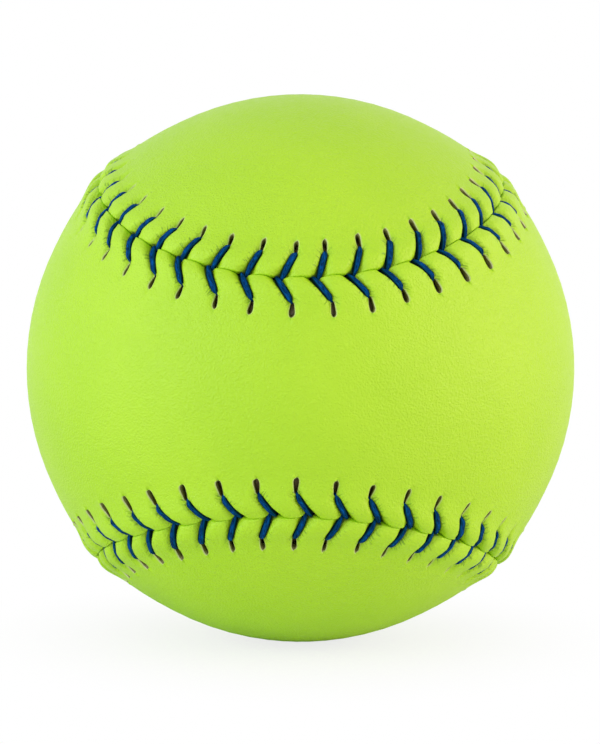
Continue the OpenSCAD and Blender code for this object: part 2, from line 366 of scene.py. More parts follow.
class Seam:
    """The closed curve on which the panels meet, with places along it counted in stitches."""

    def __init__(self, sizes):
        self.sizes, self.radius, self.count = sizes, sizes.ball_radius, sizes.stitch_count
        self.turns = np.linspace(0, 2 * math.pi, SEAM_SAMPLES + 1)
        length = lengths(self.curve(self.turns))
        self.places = length / length[-1] * self.count
        self.pitch = length[-1] * self.radius / self.count

    def curve(self, turn):
        sweep, rest = self.sizes.sweep_share, 1 - self.sizes.sweep_share
        ripple = self.sizes.ripple_share
        return unit(np.stack([
            sweep * np.sin(turn) + rest * np.sin(3 * turn) + ripple * np.sin(7 * turn),
            -self.sizes.depth_share * np.cos(2 * turn),
            sweep * np.cos(turn) - rest * np.cos(3 * turn) - ripple * np.cos(7 * turn)], axis=-1))

    def turn(self, place):
        return np.interp(place % self.count, self.places, self.turns)

    def axes(self, place):
        """The point of the seam, the way along it and the way across it to the rear side."""
        turn = self.turn(place)
        point = self.curve(turn)
        along = unit(self.curve(turn + LOOK_AHEAD) - self.curve(turn - LOOK_AHEAD))
        return point, along, np.cross(point, along)

    def direction(self, place, distance):
        """Unit vector to a place along the seam and a signed distance across it."""
        point, _, across = self.axes(place)
        angle = np.asarray(distance / self.radius)[..., None]
        return point * np.cos(angle) + across * np.sin(angle)

    def local_pitch(self, place, distance):
        """Length of one stitch at that distance from the seam."""
        step = 0.05
        ends = [self.direction(place + sign * step, distance) for sign in (1, -1)]
        return np.linalg.norm(ends[0] - ends[1], axis=-1) * self.radius / (2 * step)

    def wander(self, place, x):
        """How far the seam line lies off its curve, as it is felt at a distance x from it."""
        stitch_long = np.sin(2 * math.pi * place + 0.7)
        four_long = np.sin(2 * math.pi * place * 0.25)
        return self.sizes.wave * (0.6 * stitch_long + 0.4 * four_long) * np.exp(-x / WANDER_FADE)


class Sewing:
    """Where the holes, legs and tips of one side lie, and how high its leather stands.

    A stitch is a number k, and its leg runs from a tip on the seam to a hole. A greater place along the seam
    is ahead of a smaller one."""

    def __init__(self, scene, side):
        self.seam, self.side = Seam(scene.softball_seam), side
        self.cover, self.stitch = scene.softball_cover, scene.softball_stitch
        count = self.seam.count
        draws = np.random.default_rng(self.stitch.seed + side)
        self.shift = spread(draws, count, self.stitch.shift_spread)
        self.reach = spread(draws, count, self.stitch.reach_spread)
        self.reach += HOLE_SWING[side] * (1 - np.cos(2 * math.pi * np.arange(count) / count))
        self.lean = spread(draws, count, self.stitch.shift_spread)
        self.leg_size = 1 + spread(draws, count, self.stitch.size_spread)
        self.hole_size = 1 + spread(draws, count, self.stitch.size_spread)
        self.phases = draws.uniform(0, 2 * math.pi, len(UNEVEN_WAVES))
        self.tip = spread(np.random.default_rng(self.stitch.seed), count, TIP_SPREAD)

    def index(self, k):
        """Stitch k's number, counted round the seam."""
        return np.mod(k, self.seam.count).astype(int)

    def drift(self, place):
        """How far the holes run ahead of the tips past half a stitch, which changes round the ball."""
        swing, mean = HOLE_DRIFT[self.side]
        return swing * np.sin(4 * math.pi * place / self.seam.count) + mean

    def leg_place(self, k, x):
        """Place of stitch k's middle line at a distance x from the seam."""
        i = self.index(k)
        run = np.clip(x / self.stitch.leg_reach, 0, 1)
        past = np.clip(x - self.stitch.leg_reach, 0, self.cover.hole_length) / self.cover.hole_length
        tip = 1 - run if self.side == REAR else FRONT_TIP * (ease(x, 0, FRONT_TIP_REACH) - 1)
        return (k - 0.5 + 0.5 * run + (self.drift(k) + self.shift[i]) * run + self.lean[i] * past
                + self.tip[i] * (1 - run) + self.stitch.tip_shift * tip + SEWING_SHIFT)

    def slant(self, k, x):
        """How much longer an offset is along the seam than square to stitch k's leg."""
        step = 0.1 * MM
        nearer = np.maximum(x - step, 0)
        run = (self.leg_place(k, x + step) - self.leg_place(k, nearer)) / (x + step - nearer)
        return np.sqrt(1 + np.square(run * self.seam.local_pitch(k, self.side * x)))

    def pull(self, k, x):
        """How far the reach of stitch k's hole moves the leather out, at a distance x from the seam."""
        return self.reach[self.index(k)] * np.exp(-np.square((x - PULL_PLACE) / PULL_SPREAD))

    def bell(self, x):
        """Height of a lip where no thread crosses it."""
        cover = self.cover
        past = x - cover.lip_distance
        rise = np.exp(-np.square(past / np.where(past > 0, cover.lip_spread, LIP_INSIDE * cover.lip_spread)))
        rolled = np.square(np.clip(1 - x / cover.edge_width, 0, 1))
        return self.swell(x) + (cover.lip_rise - cover.swell) * rise - cover.edge_drop * rolled

    def swell(self, x):
        """Height of the leather beside the lips."""
        return self.cover.swell * (1 - ease(x, SWELL_FALLS, self.cover.swell_end))

    def groove(self, x):
        """Depth of the groove along a leg: half as deep by the hole, and gone past it."""
        shallower = 1 - 0.5 * ease(x, *GROOVE_SHALLOWS)
        return self.cover.groove_depth * shallower * (1 - ease(x, *GROOVE_ENDS))

    def height(self, place, x, offset, part):
        """Height of the leather over the ball, at an offset from a leg and a part of the way to half-way
        between two."""
        cover = self.cover
        # A groove is wider by the seam, and the leather stays a little pressed beyond its sides
        widened = 1 + GROOVE_WIDENING * np.exp(-np.square(x / WIDENING_FADE))
        sides = 1 - ease(offset / widened, GROOVE_FOOT, cover.groove_width)
        near = (1 - PRESSED_BEYOND) * sides + PRESSED_BEYOND * np.square(1 - part)
        pinched = np.exp(-np.square(part / PINCH_PART) - np.square(x / PINCH_FADE))
        turn = 2 * math.pi * place / self.seam.count
        waves = [np.sin(count * turn + phase) for count, phase in zip(UNEVEN_WAVES, self.phases)]
        uneven = sum(waves) / len(waves)
        lip = np.exp(-np.square((x - cover.lip_distance) / (LIP_INSIDE * cover.lip_spread)))
        return self.bell(x) - self.groove(x) * near - PINCH_DROP * pinched + UNEVEN_RISE * uneven * lip

    def hole_half_width(self, share, k):
        """Half the width of a hole, from its near end at 0 to its outer end at 1."""
        wide, slit = self.cover.hole_width / 2 * HOLE_WIDTH[self.side], self.cover.slit_width / 2
        opening = slit + (wide - slit) * ease(share, 0.02, HOLE_WIDEST)
        closing = wide * np.sqrt(np.clip(1 - np.square((share - HOLE_WIDEST) / (1.0 - HOLE_WIDEST)), 0, 1))
        half = np.where(share < HOLE_WIDEST, opening, closing) * self.hole_size[self.index(k)]
        return np.maximum(half, LEAST_HALF_WIDTH)


# Meshes

def mapped_grid(columns, rows):
    """A flat grid as a mesh, with each point's column and row."""
    bm = bmesh.new()
    bmesh.ops.create_grid(bm, x_segments=columns, y_segments=rows, size=0.5)
    mesh = bpy.data.meshes.new("grid")
    bm.to_mesh(mesh)
    bm.free()
    points = np.empty(len(mesh.vertices) * 3)
    mesh.vertices.foreach_get("co", points)
    points = points.reshape(-1, 3)[:, :2] + 0.5
    column, row = np.rint(points * (columns, rows)).astype(int).T
    return mesh, column, row


def corner_vertices(mesh):
    """The vertex of each face corner."""
    vertex = np.empty(len(mesh.loops), int)
    mesh.loops.foreach_get("vertex_index", vertex)
    return vertex


def set_points(mesh, points):
    mesh.vertices.foreach_set("co", np.ascontiguousarray(points, dtype=np.float32).ravel())


def set_value(mesh, name, values):
    """A value at each vertex, for the material to read."""
    mesh.attributes.new(name, "FLOAT", "POINT").data.foreach_set("value", values.astype(np.float32))


def set_map(mesh, name, pairs):
    """A UV map from a pair of numbers at each corner."""
    layer = mesh.uv_layers.new(name=name, do_init=False)
    layer.uv.foreach_set("vector", np.ascontiguousarray(pairs, dtype=np.float32).ravel())


def finish_piece(bm, mesh, name, node, material):
    """Turns the faces outwards, and makes the mesh a piece of the ball."""
    bmesh.ops.recalc_face_normals(bm, faces=bm.faces)
    bm.to_mesh(mesh)
    bm.free()
    mesh.name = name
    mesh.shade_smooth()
    mesh.materials.append(material)
    piece = bpy.data.objects.new(name, mesh)
    bpy.context.scene.collection.objects.link(piece)
    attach(piece, "root")
    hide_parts(node)


def panel_rows(cover):
    """Each row's kind, its distance from the seam and its share of the way to the spine, inside first."""
    holes = cover.hole_distance + HOLE_ROWS * cover.hole_length
    parts = (("under_inner", BAND, UNDER_SHARES), ("under", UNDER_ROWS, 0), ("wall", WALL_ROWS, 0),
             ("lip", LIP_ROWS, 0), ("hole", holes, 0), ("outer", OUTER_ROWS, 0),
             ("top_inner", BAND, TOP_SHARES))
    kinds, distances, shares = [], [], []
    for kind, distance, share in parts:
        distance, share = np.broadcast_arrays(distance, share)
        kinds += [kind] * len(distance)
        distances.append(distance)
        shares.append(share)
    return np.array(kinds), np.concatenate(distances), np.concatenate(shares)


def spine(seam, place, side):
    """The middle line of a panel, level with a place along the seam: the same from both its sides."""
    turn = seam.turn(place)
    if side == REAR:
        turn = math.pi / 2 - turn
    swing = np.arcsin(np.clip(np.sin(turn), -1, 1))
    angle = SPINE_END * np.sin(SPINE_BEND * swing) / math.sin(SPINE_BEND * math.pi / 2)
    front = np.stack([np.sin(angle), -np.cos(angle), np.zeros_like(angle)], axis=-1)
    return front if side == FRONT else front[..., [2, 1, 0]] * (1, -1, 1)


def slerp(start, end, share):
    """Unit vectors a share of the way from one direction to another, round the ball."""
    angle = np.arccos(np.clip((start * end).sum(-1, keepdims=True), -1, 1))
    share = share[..., None]
    return (np.sin((1 - share) * angle) * start + np.sin(share * angle) * end) / np.sin(angle)


class PanelGrid:
    """One panel as a grid. Its columns go round the seam, and its rows run from the spine under the leather,
    over the edge at the seam and back to the spine on top."""

    def __init__(self, scene, side):
        self.side, self.sewing = side, Sewing(scene, side)
        self.seam, self.cover = self.sewing.seam, self.sewing.cover
        self.kinds, distances, shares = panel_rows(self.cover)
        self.mesh, self.column, self.row = mapped_grid(self.seam.count * COLUMNS, len(self.kinds) - 1)
        self.vertex = corner_vertices(self.mesh)
        self.kind, self.at, self.spine_share = self.kinds[self.row], distances[self.row], shares[self.row]
        self.hole_share = (self.at - self.cover.hole_distance) / self.cover.hole_length
        self.under = self.is_kind("under", "under_inner")
        self.inner = self.is_kind("top_inner", "under_inner")
        self.number_columns()
        self.place_along()
        self.place_across()
        self.place_high()

    def is_kind(self, *kinds):
        return np.isin(self.kind, kinds)

    def first_row(self, kind):
        return int(np.argmax(self.kinds == kind))

    def number_columns(self):
        """Each point's stitch k, and its column c counted from that stitch's middle line."""
        # A column that goes moves to the nearest one that stays, or back to the one before
        step = np.where(self.kind == "top_inner", TOP_THIN, 1)
        self.used = (np.ceil(self.column / step - 0.5) * step).astype(int)
        self.k = (self.used + HALF) // COLUMNS
        c = self.used - self.k * COLUMNS
        self.c = np.where(self.under, np.where(c < 0, -UNDER_COLUMN, UNDER_COLUMN), c)
        self.size = np.abs(self.c)

    def place_along(self):
        """Each point's place along the seam, and its part of the way from a leg to half-way between two."""
        cover, sewing, k, at = self.cover, self.sewing, self.k, self.at
        self.half_pitch = self.seam.local_pitch(k, self.side * at) / 2
        self.slant = sewing.slant(k, at)
        # Beside a leg the columns keep their distance from it, and round a hole they follow its rim
        index = np.minimum(self.size, HALF - 1)
        leg = LEG_COLUMNS[index] * self.slant
        half_width = sewing.hole_half_width(np.clip(self.hole_share, 0, 1), k)
        hole = HOLE_SHARES[index] * half_width + HOLE_PASTS[index]
        out = leg + (hole - leg) * ease(at, TO_HOLE, cover.hole_distance)
        self.out = np.where(self.under, UNDER_HALF_WIDTH, out)
        part = np.minimum(self.out / self.half_pitch, MOST_PART)
        part = np.where(self.size == HALF, 1, part)
        # Past the holes they spread evenly
        hole_end = cover.hole_distance + cover.hole_length
        to_even = ease(at, hole_end + EVEN_AFTER, BAND - EVEN_BEFORE)
        part = part + (self.size / HALF - part) * np.where(self.under, 0, to_even)
        self.part = np.where(self.kind == "top_inner", self.size / HALF, part)
        even = np.where(self.under, k + np.where(self.c < 0, -0.25, 0.25), self.used / COLUMNS)
        here = sewing.leg_place(k, at)
        half_way = (here + sewing.leg_place(k + np.sign(self.c + 0.5), at)) / 2
        place = here + (half_way - here) * self.part
        self.place = np.where(self.inner, even, place + (even - place) * to_even)

    def place_across(self):
        """Each point's distance from the seam, with the reach of its hole, and the opening at the tips."""
        ahead = (self.place - (self.k - 0.5)) * self.seam.pitch
        before = np.exp(-(ahead / OPENING_AHEAD) ** 4)
        behind = np.clip(1 + ahead / OPENING_BEHIND, 0, 1) ** 1.3
        self.opening = np.where(ahead > 0, before, behind) * np.exp(-self.at / OPENING_FADE)
        pull = self.sewing.pull(self.k, self.at) * (1 - np.square(self.part))
        self.far = self.at + pull + self.cover.pinch * self.opening
        self.signed = self.side * self.far + self.seam.wander(self.place, self.at)

    def place_high(self):
        """Each point's height over the ball, and which points are at the foot of a hole's walls."""
        cover, at = self.cover, self.at
        bends = [UNDER_ROWS[UNDER_HOLE + 1], UNDER_ROWS[UNDER_HOLE], BAND]
        roof = np.interp(at, bends, [cover.channel, ROOF_BEND * cover.channel, 0]) - cover.thickness
        top = self.sewing.height(self.place, self.far, self.out / self.slant, self.part)
        # The thread draws down the rim behind its hole, and the rim ahead of it stays raised
        lean = np.clip(self.c / 2, -1, 1) * np.exp(-np.square(self.out / LEAN_FADE)) * ease(at, *LEAN_BEGINS)
        top = top + RIM_LEAN * lean * (1 - ease(at, *LEAN_ENDS))
        high = np.where(self.under, roof, top)
        # The cut edge at the seam, from the underside up to the lip
        wall = self.row - self.first_row("wall")
        edge = np.minimum(WALL_HEIGHTS[np.clip(wall - 1, 0, 1)], top - WALL_CLEAR)
        high = np.where(self.kind == "wall", np.where(wall == 0, roof, edge), high)
        # The walls of a hole go down to its foot, and slope in at its outer end
        first = self.first_row("hole")
        in_hole = (self.row > first) & (self.row < first + len(HOLE_ROWS) - 1)
        self.pit = in_hole & (self.size < RIM)
        self.high = np.where(self.pit, roof + PIT_HEIGHT, high)
        slope = self.side * PIT_SLOPE * ease(self.hole_share, PIT_SLOPE_START, HOLE_ROWS[-2])
        self.signed = self.signed - np.where(self.pit, slope, 0)

    def points(self):
        """Where each point lies, over the sewn band and on to the spine."""
        points = self.seam.direction(self.place, self.signed)
        to = spine(self.seam, self.place, self.side)
        points = np.where(self.inner[:, None], slerp(points, to, self.spine_share), points)
        gone = np.arccos(np.clip((points * self.seam.axes(self.place)[0]).sum(-1), -1, 1)) * self.seam.radius
        high = np.where(self.kind == "top_inner", self.sewing.swell(gone), self.high)
        return points * (self.seam.radius + high)[:, None]

    def middles(self, numbers):
        """The mean of a number over the corners of each face."""
        return numbers[self.vertex].reshape(-1, 4).mean(1)

    def mark(self):
        """Writes what the material reads: cut, a painted highlight round each hole's edge and painted shade,
        and maps along and across the seam.
        """
        at = self.at
        # A pale ring on the rim of each hole, a painted highlight
        rim_highlight = (self.kind == "hole") & (self.hole_share > RIM_HIGHLIGHT_START) & np.isin(self.size, (RIM, RIM + 1))
        # Painted shade at the foot of a leg's groove, stronger behind the leg than ahead of it, and where
        # the edge opens at a tip
        wider = SHADE_WIDENING * (1 - ease(at, *SHADE_NARROWS))
        pressed = 1 - ease(self.out / self.slant - wider, *SHADE_SIDES)
        pressed = pressed * (1 - ease(at, *SHADE_ENDS)) * np.where(self.c < 0, 1, SHADE_AHEAD)
        shade = np.maximum(SHADE_LEG * pressed, np.clip(1.5 * self.opening - 0.35, 0, 1))
        set_value(self.mesh, "cut", self.pit)
        set_value(self.mesh, "rim_highlight", rim_highlight)
        set_value(self.mesh, "shaded", np.where(self.is_kind("lip", "hole", "wall") & ~self.pit, shade, 0))

        place, across = self.place[self.vertex], self.far[self.vertex]
        nearest = np.rint(np.repeat(self.middles(self.column), 4) / COLUMNS)
        beside = place - self.sewing.leg_place(nearest, at[self.vertex])
        beside = beside * self.half_pitch[self.vertex] * 2
        set_map(self.mesh, "along_and_across", np.stack([place * self.seam.pitch, across], -1) / MM)
        set_map(self.mesh, "beside_and_across", np.stack([beside, across], -1) / MM)

    def faces_in_holes(self):
        """The faces at the foot of each hole on top, and the one across it on the underside."""
        beside = (self.middles(self.column) + HALF) % COLUMNS - HALF
        row = self.middles(self.row)
        first, under = self.first_row("hole"), self.first_row("under") + UNDER_HOLE
        last = first + len(HOLE_ROWS) - 1
        on_top = (np.abs(beside) < RIM - 1) & (row > first + 1) & (row < last - 1)
        below = np.isclose(beside, -0.5) & (row > under) & (row < under + 1)
        return np.flatnonzero(on_top | below)


def cover_panel(scene, side, name, node, material):
    """One closed leather panel: lips, grooves, holes right through it, and its underside."""
    grid = PanelGrid(scene, side)
    set_points(grid.mesh, grid.points())
    grid.mark()
    bm = bmesh.new()
    bm.from_mesh(grid.mesh)
    bm.faces.ensure_lookup_table()
    doomed = [bm.faces[i] for i in grid.faces_in_holes()]
    bmesh.ops.delete(bm, geom=doomed, context="FACES")
    bmesh.ops.remove_doubles(bm, verts=bm.verts, dist=MERGE)
    join_holes(bm, grid.sewing)
    finish_piece(bm, grid.mesh, name, node, material)


def join_holes(bm, sewing):
    """Walls that join each hole's two open edges, at the top and under the leather."""
    seam, cover = sewing.seam, sewing.cover
    k = np.arange(seam.count)
    middle = np.full(len(k), cover.hole_distance + cover.hole_length / 2)
    centres = seam.direction(sewing.leg_place(k, middle), sewing.side * middle)
    open_edges = [edge for edge in bm.edges if len(edge.link_faces) == 1]
    middles = unit(np.array([(edge.verts[0].co + edge.verts[1].co) / 2 for edge in open_edges]))
    nearest = (middles @ centres.T).argmax(1)
    for hole in range(seam.count):
        edges = [open_edges[i] for i in np.flatnonzero(nearest == hole)]
        bmesh.ops.bridge_loops(bm, edges=edges)


def smooth_path(points, steps):
    """Points on a smooth curve through the given ones."""
    padded = np.concatenate([2 * points[:1] - points[1:2], points, 2 * points[-1:] - points[-2:-1]])
    p0, p1, p2, p3 = (padded[i:len(padded) - 3 + i, None] for i in range(4))
    t = (np.arange(steps) / steps)[None, :, None]
    curve = 0.5 * (2 * p1 + (p2 - p0) * t + (2 * p0 - 5 * p1 + 4 * p2 - p3) * t ** 2
                   + (3 * p1 - p0 - 3 * p2 + p3) * t ** 3)
    return np.concatenate([curve.reshape(-1, points.shape[1]), points[-1:]])


def leg_width(stitch, x):
    """Width of a thread at a distance from the seam: a leaf, narrow in its hole and at its tip."""
    in_hole = ease(x, *NARROWS_TO_HOLE)
    at_tip = 1 - ease(x, *WIDENS_FROM_TIP)
    return (stitch.width - (stitch.width - stitch.hole_width) * in_hole
            - (stitch.width - stitch.tip_width) * at_tip)


def leg_thickness(stitch, x):
    """Thickness of a thread at a distance from the seam, thinner in its hole."""
    return stitch.thickness * (1 - THINNER * ease(x, *THINS_TO_HOLE))


def thread_route(sewings, stitch, first_side):
    """A thread's points, and its width, its thickness and its place along the seam at each of them."""
    seam = sewings[FRONT].seam
    route, facts = [], []
    for k in range(seam.count, 0, -1):
        side = first_side if k % 2 else -first_side
        sewing = sewings[side]
        for step, (x, height) in enumerate(ROUTE):
            x = x * MM * (LEG_STRETCH[side] if x > 0 else 1)
            own = max(x, 0)
            place = sewing.leg_place(k, own)
            thick = leg_thickness(stitch, x)
            if height is None:
                lift = sewing.height(place, x, 0.0, 0.0) + LEG_LIFT * thick
            else:
                lift = height * MM
                thick = thick * BURIED
            # The thread comes to a hole from ahead, and runs back under the other panel from the tip
            if step == 0:
                place = k + COMES_AHEAD
            if x < 0:
                place -= 0.02 - x / MM * 0.1
            far = side * (x + sewing.pull(k, own)) + seam.wander(place, own)
            route.append(seam.direction(place, far) * (seam.radius + lift))
            width = leg_width(stitch, x * WIDTH_PLACE[side]) * sewing.leg_size[k % seam.count]
            facts.append((width, thick, place))
    return np.array(route), np.array(facts)


def thread(scene, first_side, name, node, material):
    """One thread sewn from hole to hole, on one panel and the other by turns."""
    sewings = {side: Sewing(scene, side) for side in (FRONT, REAR)}
    seam, stitch = sewings[FRONT].seam, scene.softball_stitch
    path, facts = (smooth_path(part, ROUTE_STEPS) for part in thread_route(sewings, stitch, first_side))
    rings = len(path)
    forward = unit(np.gradient(path, axis=0))
    along = seam.axes(facts[:, 2])[1]
    wide = unit(along - (along * forward).sum(1, keepdims=True) * forward)
    thick = np.cross(forward, wide)
    length = lengths(path)

    mesh, column, row = mapped_grid(SIDES, rings - 1)
    angle = 2 * math.pi * column / SIDES
    twist = stitch.ply_count * (angle + 2 * math.pi * length[row] / stitch.twist_length)
    bulge = 1 + stitch.ply_relief * np.cos(twist)
    closed = np.where((row == 0) | (row == rings - 1), 0, 1)
    half_width = facts[row, 0] / 2 * (1 + 0.5 * (bulge - 1)) * closed
    half_thickness = facts[row, 1] / 2 * bulge * closed
    set_points(mesh, path[row] + wide[row] * (half_width * np.cos(angle))[:, None]
               + thick[row] * (half_thickness * np.sin(angle))[:, None])
    turned = np.stack([length[row] / MM, column / SIDES], -1)
    set_map(mesh, "along_and_around", turned[corner_vertices(mesh)])
    bm = bmesh.new()
    bm.from_mesh(mesh)
    bmesh.ops.remove_doubles(bm, verts=bm.verts, dist=MERGE)
    finish_piece(bm, mesh, name, node, material)


# Materials

class Nodes:
    """The nodes of a material or a world, made and joined with few words."""

    def __init__(self, owner):
        owner.use_nodes = True
        self.owner, self.tree = owner, owner.node_tree
        self.tree.nodes.clear()

    def add(self, kind, values=None, links=None, **settings):
        node = self.tree.nodes.new("ShaderNode" + kind)
        for key, value in settings.items():
            setattr(node, key, value)
        for key, value in (values or {}).items():
            node.inputs[key].default_value = value
        for key, socket in (links or {}).items():
            self.tree.links.new(socket, node.inputs[key])
        return node

    def fill(self, sockets, values):
        """Gives each socket its value: a number, a colour or another node's socket."""
        for socket, value in zip(sockets, values):
            if isinstance(value, bpy.types.NodeSocket):
                self.tree.links.new(value, socket)
            elif isinstance(value, (int, float)):
                socket.default_value = value
            else:
                socket.default_value = (*value, 1)

    def math(self, operation, *values):
        node = self.add("Math", operation=operation)
        self.fill(node.inputs, values)
        return node.outputs[0]

    def plus(self, first, second):
        return self.math("ADD", first, second)

    def minus(self, first, second):
        return self.math("SUBTRACT", first, second)

    def times(self, first, second):
        return self.math("MULTIPLY", first, second)

    def ramp(self, value, low, high):
        """0 up to low, 1 from high, smooth between."""
        node = self.add("MapRange", {"From Min": low, "From Max": high}, {"Value": value},
                        interpolation_type="SMOOTHSTEP")
        return node.outputs["Result"]

    def blend(self, factor, first, second):
        """The first colour where the factor is 0, and the second where it is 1."""
        node = self.add("Mix", data_type="RGBA")
        self.fill((node.inputs[0], node.inputs[6], node.inputs[7]), (factor, first, second))
        return node.outputs[2]

    def noise(self, vector, scale, detail=2.0, roughness=0.5):
        """Noise with its scale in cells a metre on a place, and in cells a millimetre on a map."""
        values = {"Scale": scale, "Detail": detail, "Roughness": roughness}
        return self.add("TexNoise", values, {"Vector": vector}).outputs["Fac"]

    def place(self):
        """Each point's place on the piece, in metres."""
        return self.add("TexCoord").outputs["Object"]

    def value(self, name):
        """A value that the mesh carries at each point."""
        return self.add("Attribute", attribute_name=name).outputs["Fac"]

    def map(self, name):
        """A UV map, whole and as its two numbers, in millimetres or in turns round a thread."""
        vector = self.add("UVMap", uv_map=name).outputs["UV"]
        parts = self.add("SeparateXYZ", links={"Vector": vector})
        return vector, parts.outputs["X"], parts.outputs["Y"]

    def vector(self, *values):
        node = self.add("CombineXYZ")
        self.fill(node.inputs, values)
        return node.outputs["Vector"]

    def stretch(self, vector, scale, location=(0.0, 0.0, 0.0)):
        values = {"Scale": scale, "Location": location}
        return self.add("Mapping", values, {"Vector": vector}).outputs["Vector"]

    def cells(self, vector, scale, feature="F1"):
        """Rounded cells, 0 in the middle of each."""
        node = self.add("TexVoronoi", {"Scale": scale}, {"Vector": vector}, feature=feature)
        return node.outputs["Distance"]

    def bump(self, height, distance, normal=None):
        """A relief that rises by the distance, on top of another one where there is one."""
        links = {"Height": height}
        if normal is not None:
            links["Normal"] = normal
        return self.add("Bump", {"Distance": distance}, links).outputs["Normal"]

    def rays(self):
        """1 where the camera sees a thing itself, and 1 where it sees it in gloss or through glass."""
        path = self.add("LightPath")
        mirrored = self.math("MAXIMUM", path.outputs["Is Glossy Ray"], path.outputs["Is Transmission Ray"])
        return path.outputs["Is Camera Ray"], mirrored

    def finish(self, shader, output="OutputMaterial"):
        """Joins the shader to the output, and gives back the finished material or world."""
        self.add(output, links={"Surface": shader.outputs[0]})
        return self.owner


def leather_material(cover):
    """Fine-grained leather, creased beside the threads, with a pale cut edge in the holes, and painted shade
    and highlights round the threads and in the holes.
    """
    n = Nodes(bpy.data.materials.new("grained_cover_leather"))
    place = n.place()
    along_map, along, _ = n.map("along_and_across")
    _, beside, x = n.map("beside_and_across")
    off = n.math("ABSOLUTE", beside)
    skin = n.blend(n.ramp(n.noise(place, 45, 3.0), 0.3, 0.7), cover.deep_colour, cover.light_colour)
    # Creases: thin lines that fan out beside each thread, longer behind it than ahead of it, pressed in as
    # relief and darkened with painted shade
    level = n.minus(n.minus(x, 3.0), n.times(off, 0.9))
    fan = n.math("DIVIDE", level, n.plus(1.0, n.times(off, 0.25)))
    stroke = n.noise(n.vector(n.times(along, 0.5), n.times(fan, 5.0)), 1.0, 1.0)
    ends = n.noise(n.stretch(along_map, (0.3, 1.7, 1.0), (7.0, 3.0, 0.0)), 1.0)
    length = n.minus(2.2, n.ramp(beside, -0.3, 0.3))
    near = n.minus(1.0, n.ramp(n.minus(off, n.times(ends, length)), -0.1, 0.75))
    band = n.times(n.ramp(x, 1.0, 2.0), n.minus(1.0, n.ramp(x, 4.4, 5.4)))
    crease = n.times(n.times(near, band), n.ramp(stroke, 0.55, 0.64))
    skin = n.blend(n.times(crease, 0.7), skin, cover.crease_shade_colour)
    # Painted highlight: a paler ring round a hole's rim, in the backing's colour
    skin = n.blend(n.times(n.ramp(n.value("rim_highlight"), 0.3, 1.0), 0.4), skin, cover.backing_and_highlight_colour)
    # Painted shade at the foot of the threads and where they dive
    skin = n.blend(n.times(n.ramp(n.value("shaded"), 0.2, 0.8), 0.9), skin, cover.foot_shade_colour)
    # The cut edge in the backing's colour, and painted shade in the holes: the pale edge reaches deeper on
    # one side of a hole, a painted highlight where light falls on that wall, and deep inside the painted
    # shade is lighter towards the hole's outer end, painted light on its sloping wall
    cut = n.value("cut")
    edge = n.blend(n.ramp(cut, 0.02, 0.06), skin, cover.backing_and_highlight_colour)
    depth = n.minus(cut, n.times(n.ramp(beside, 0.1, 0.4), 0.09))
    inside = n.blend(n.ramp(x, 4.6, 6.6), cover.shade_colour, cover.outer_shade)
    colour = n.blend(n.ramp(depth, 0.03, 0.12), edge, inside)
    # Grain: small pebbles with finer pores, and the creases pressed in
    pebbles, pores = n.cells(place, 2700, "SMOOTH_F1"), n.noise(place, 5600)
    grain = n.plus(n.times(pebbles, 0.7), n.times(pores, 0.55))
    normal = n.bump(n.minus(1.0, crease), 0.07 * MM, n.bump(grain, 0.18 * MM))
    rough = n.add("MapRange", {"From Min": 0.3, "From Max": 0.7, "To Min": 0.41, "To Max": 0.51},
                  {"Value": n.noise(place, 900)}).outputs["Result"]
    return n.finish(n.add("BsdfPrincipled", {"Specular IOR Level": 0.55},
                          {"Base Color": colour, "Roughness": rough, "Normal": normal}))


def thread_material(stitch):
    """Waxed, fibrous thread in lighter and darker strands, with painted shade down its sides."""
    n = Nodes(bpy.data.materials.new("waxed_stitching_thread"))
    _, along, around = n.map("along_and_around")
    # Fibres run along the thread and slowly round it
    turn = n.times(n.plus(around, n.times(along, 0.056)), 2 * math.pi)
    circle = n.vector(n.times(n.math("COSINE", turn), 1.6), n.times(n.math("SINE", turn), 1.6),
                      n.times(along, 0.35))
    fibre = n.noise(circle, 4.2, 3.0, 0.6)
    mottle = n.plus(n.noise(circle, 1.3), n.noise(n.place(), 1300))
    mix = n.plus(n.times(fibre, 0.6), n.times(mottle, 0.2))
    colour = n.blend(n.ramp(mix, 0.42, 0.64), stitch.dark_colour, stitch.light_colour)
    # Painted shade: darker down its slopes and darkest at its sides, where it sinks into its groove
    aside = n.math("ABSOLUTE", n.math("COSINE", n.times(around, 2 * math.pi)))
    colour = n.blend(n.times(n.ramp(aside, 0.25, 0.6), 0.7), colour, stitch.flank_shade_colour)
    colour = n.blend(n.times(n.ramp(aside, 0.52, 0.88), 0.92), colour, stitch.side_shade_colour)
    return n.finish(n.add("BsdfPrincipled", {"Roughness": 0.6, "Specular IOR Level": 0.03},
                          {"Base Color": colour, "Normal": n.bump(fibre, 0.16 * MM)}))


def core_material(colours):
    """Moulded foam core: a cream body with a closed, slightly speckled skin."""
    n = Nodes(bpy.data.materials.new("moulded_core_foam"))
    place = n.place()
    speckle = n.noise(place, 900, 4.0, 0.6)
    colour = n.blend(n.ramp(speckle, 0.35, 0.7), colours.core_dark, colours.core_light)
    normal = n.bump(n.plus(speckle, n.times(n.cells(place, 420), 0.5)), 0.06 * MM)
    return n.finish(n.add("BsdfPrincipled", {"Roughness": 0.72}, {"Base Color": colour, "Normal": normal}))


def cement_material(colours):
    """Dried cement on the core: amber, streaked where it was brushed on."""
    n = Nodes(bpy.data.materials.new("dried_cover_cement"))
    streak = n.noise(n.stretch(n.place(), (1.0, 1.0, 5.0)), 120, 5.0, 0.6)
    colour = n.blend(n.ramp(streak, 0.3, 0.7), colours.cement_dark, colours.cement_light)
    normal = n.bump(streak, 0.15 * MM)
    return n.finish(n.add("BsdfPrincipled", {"Roughness": 0.38}, {"Base Color": colour, "Normal": normal}))


# Operators

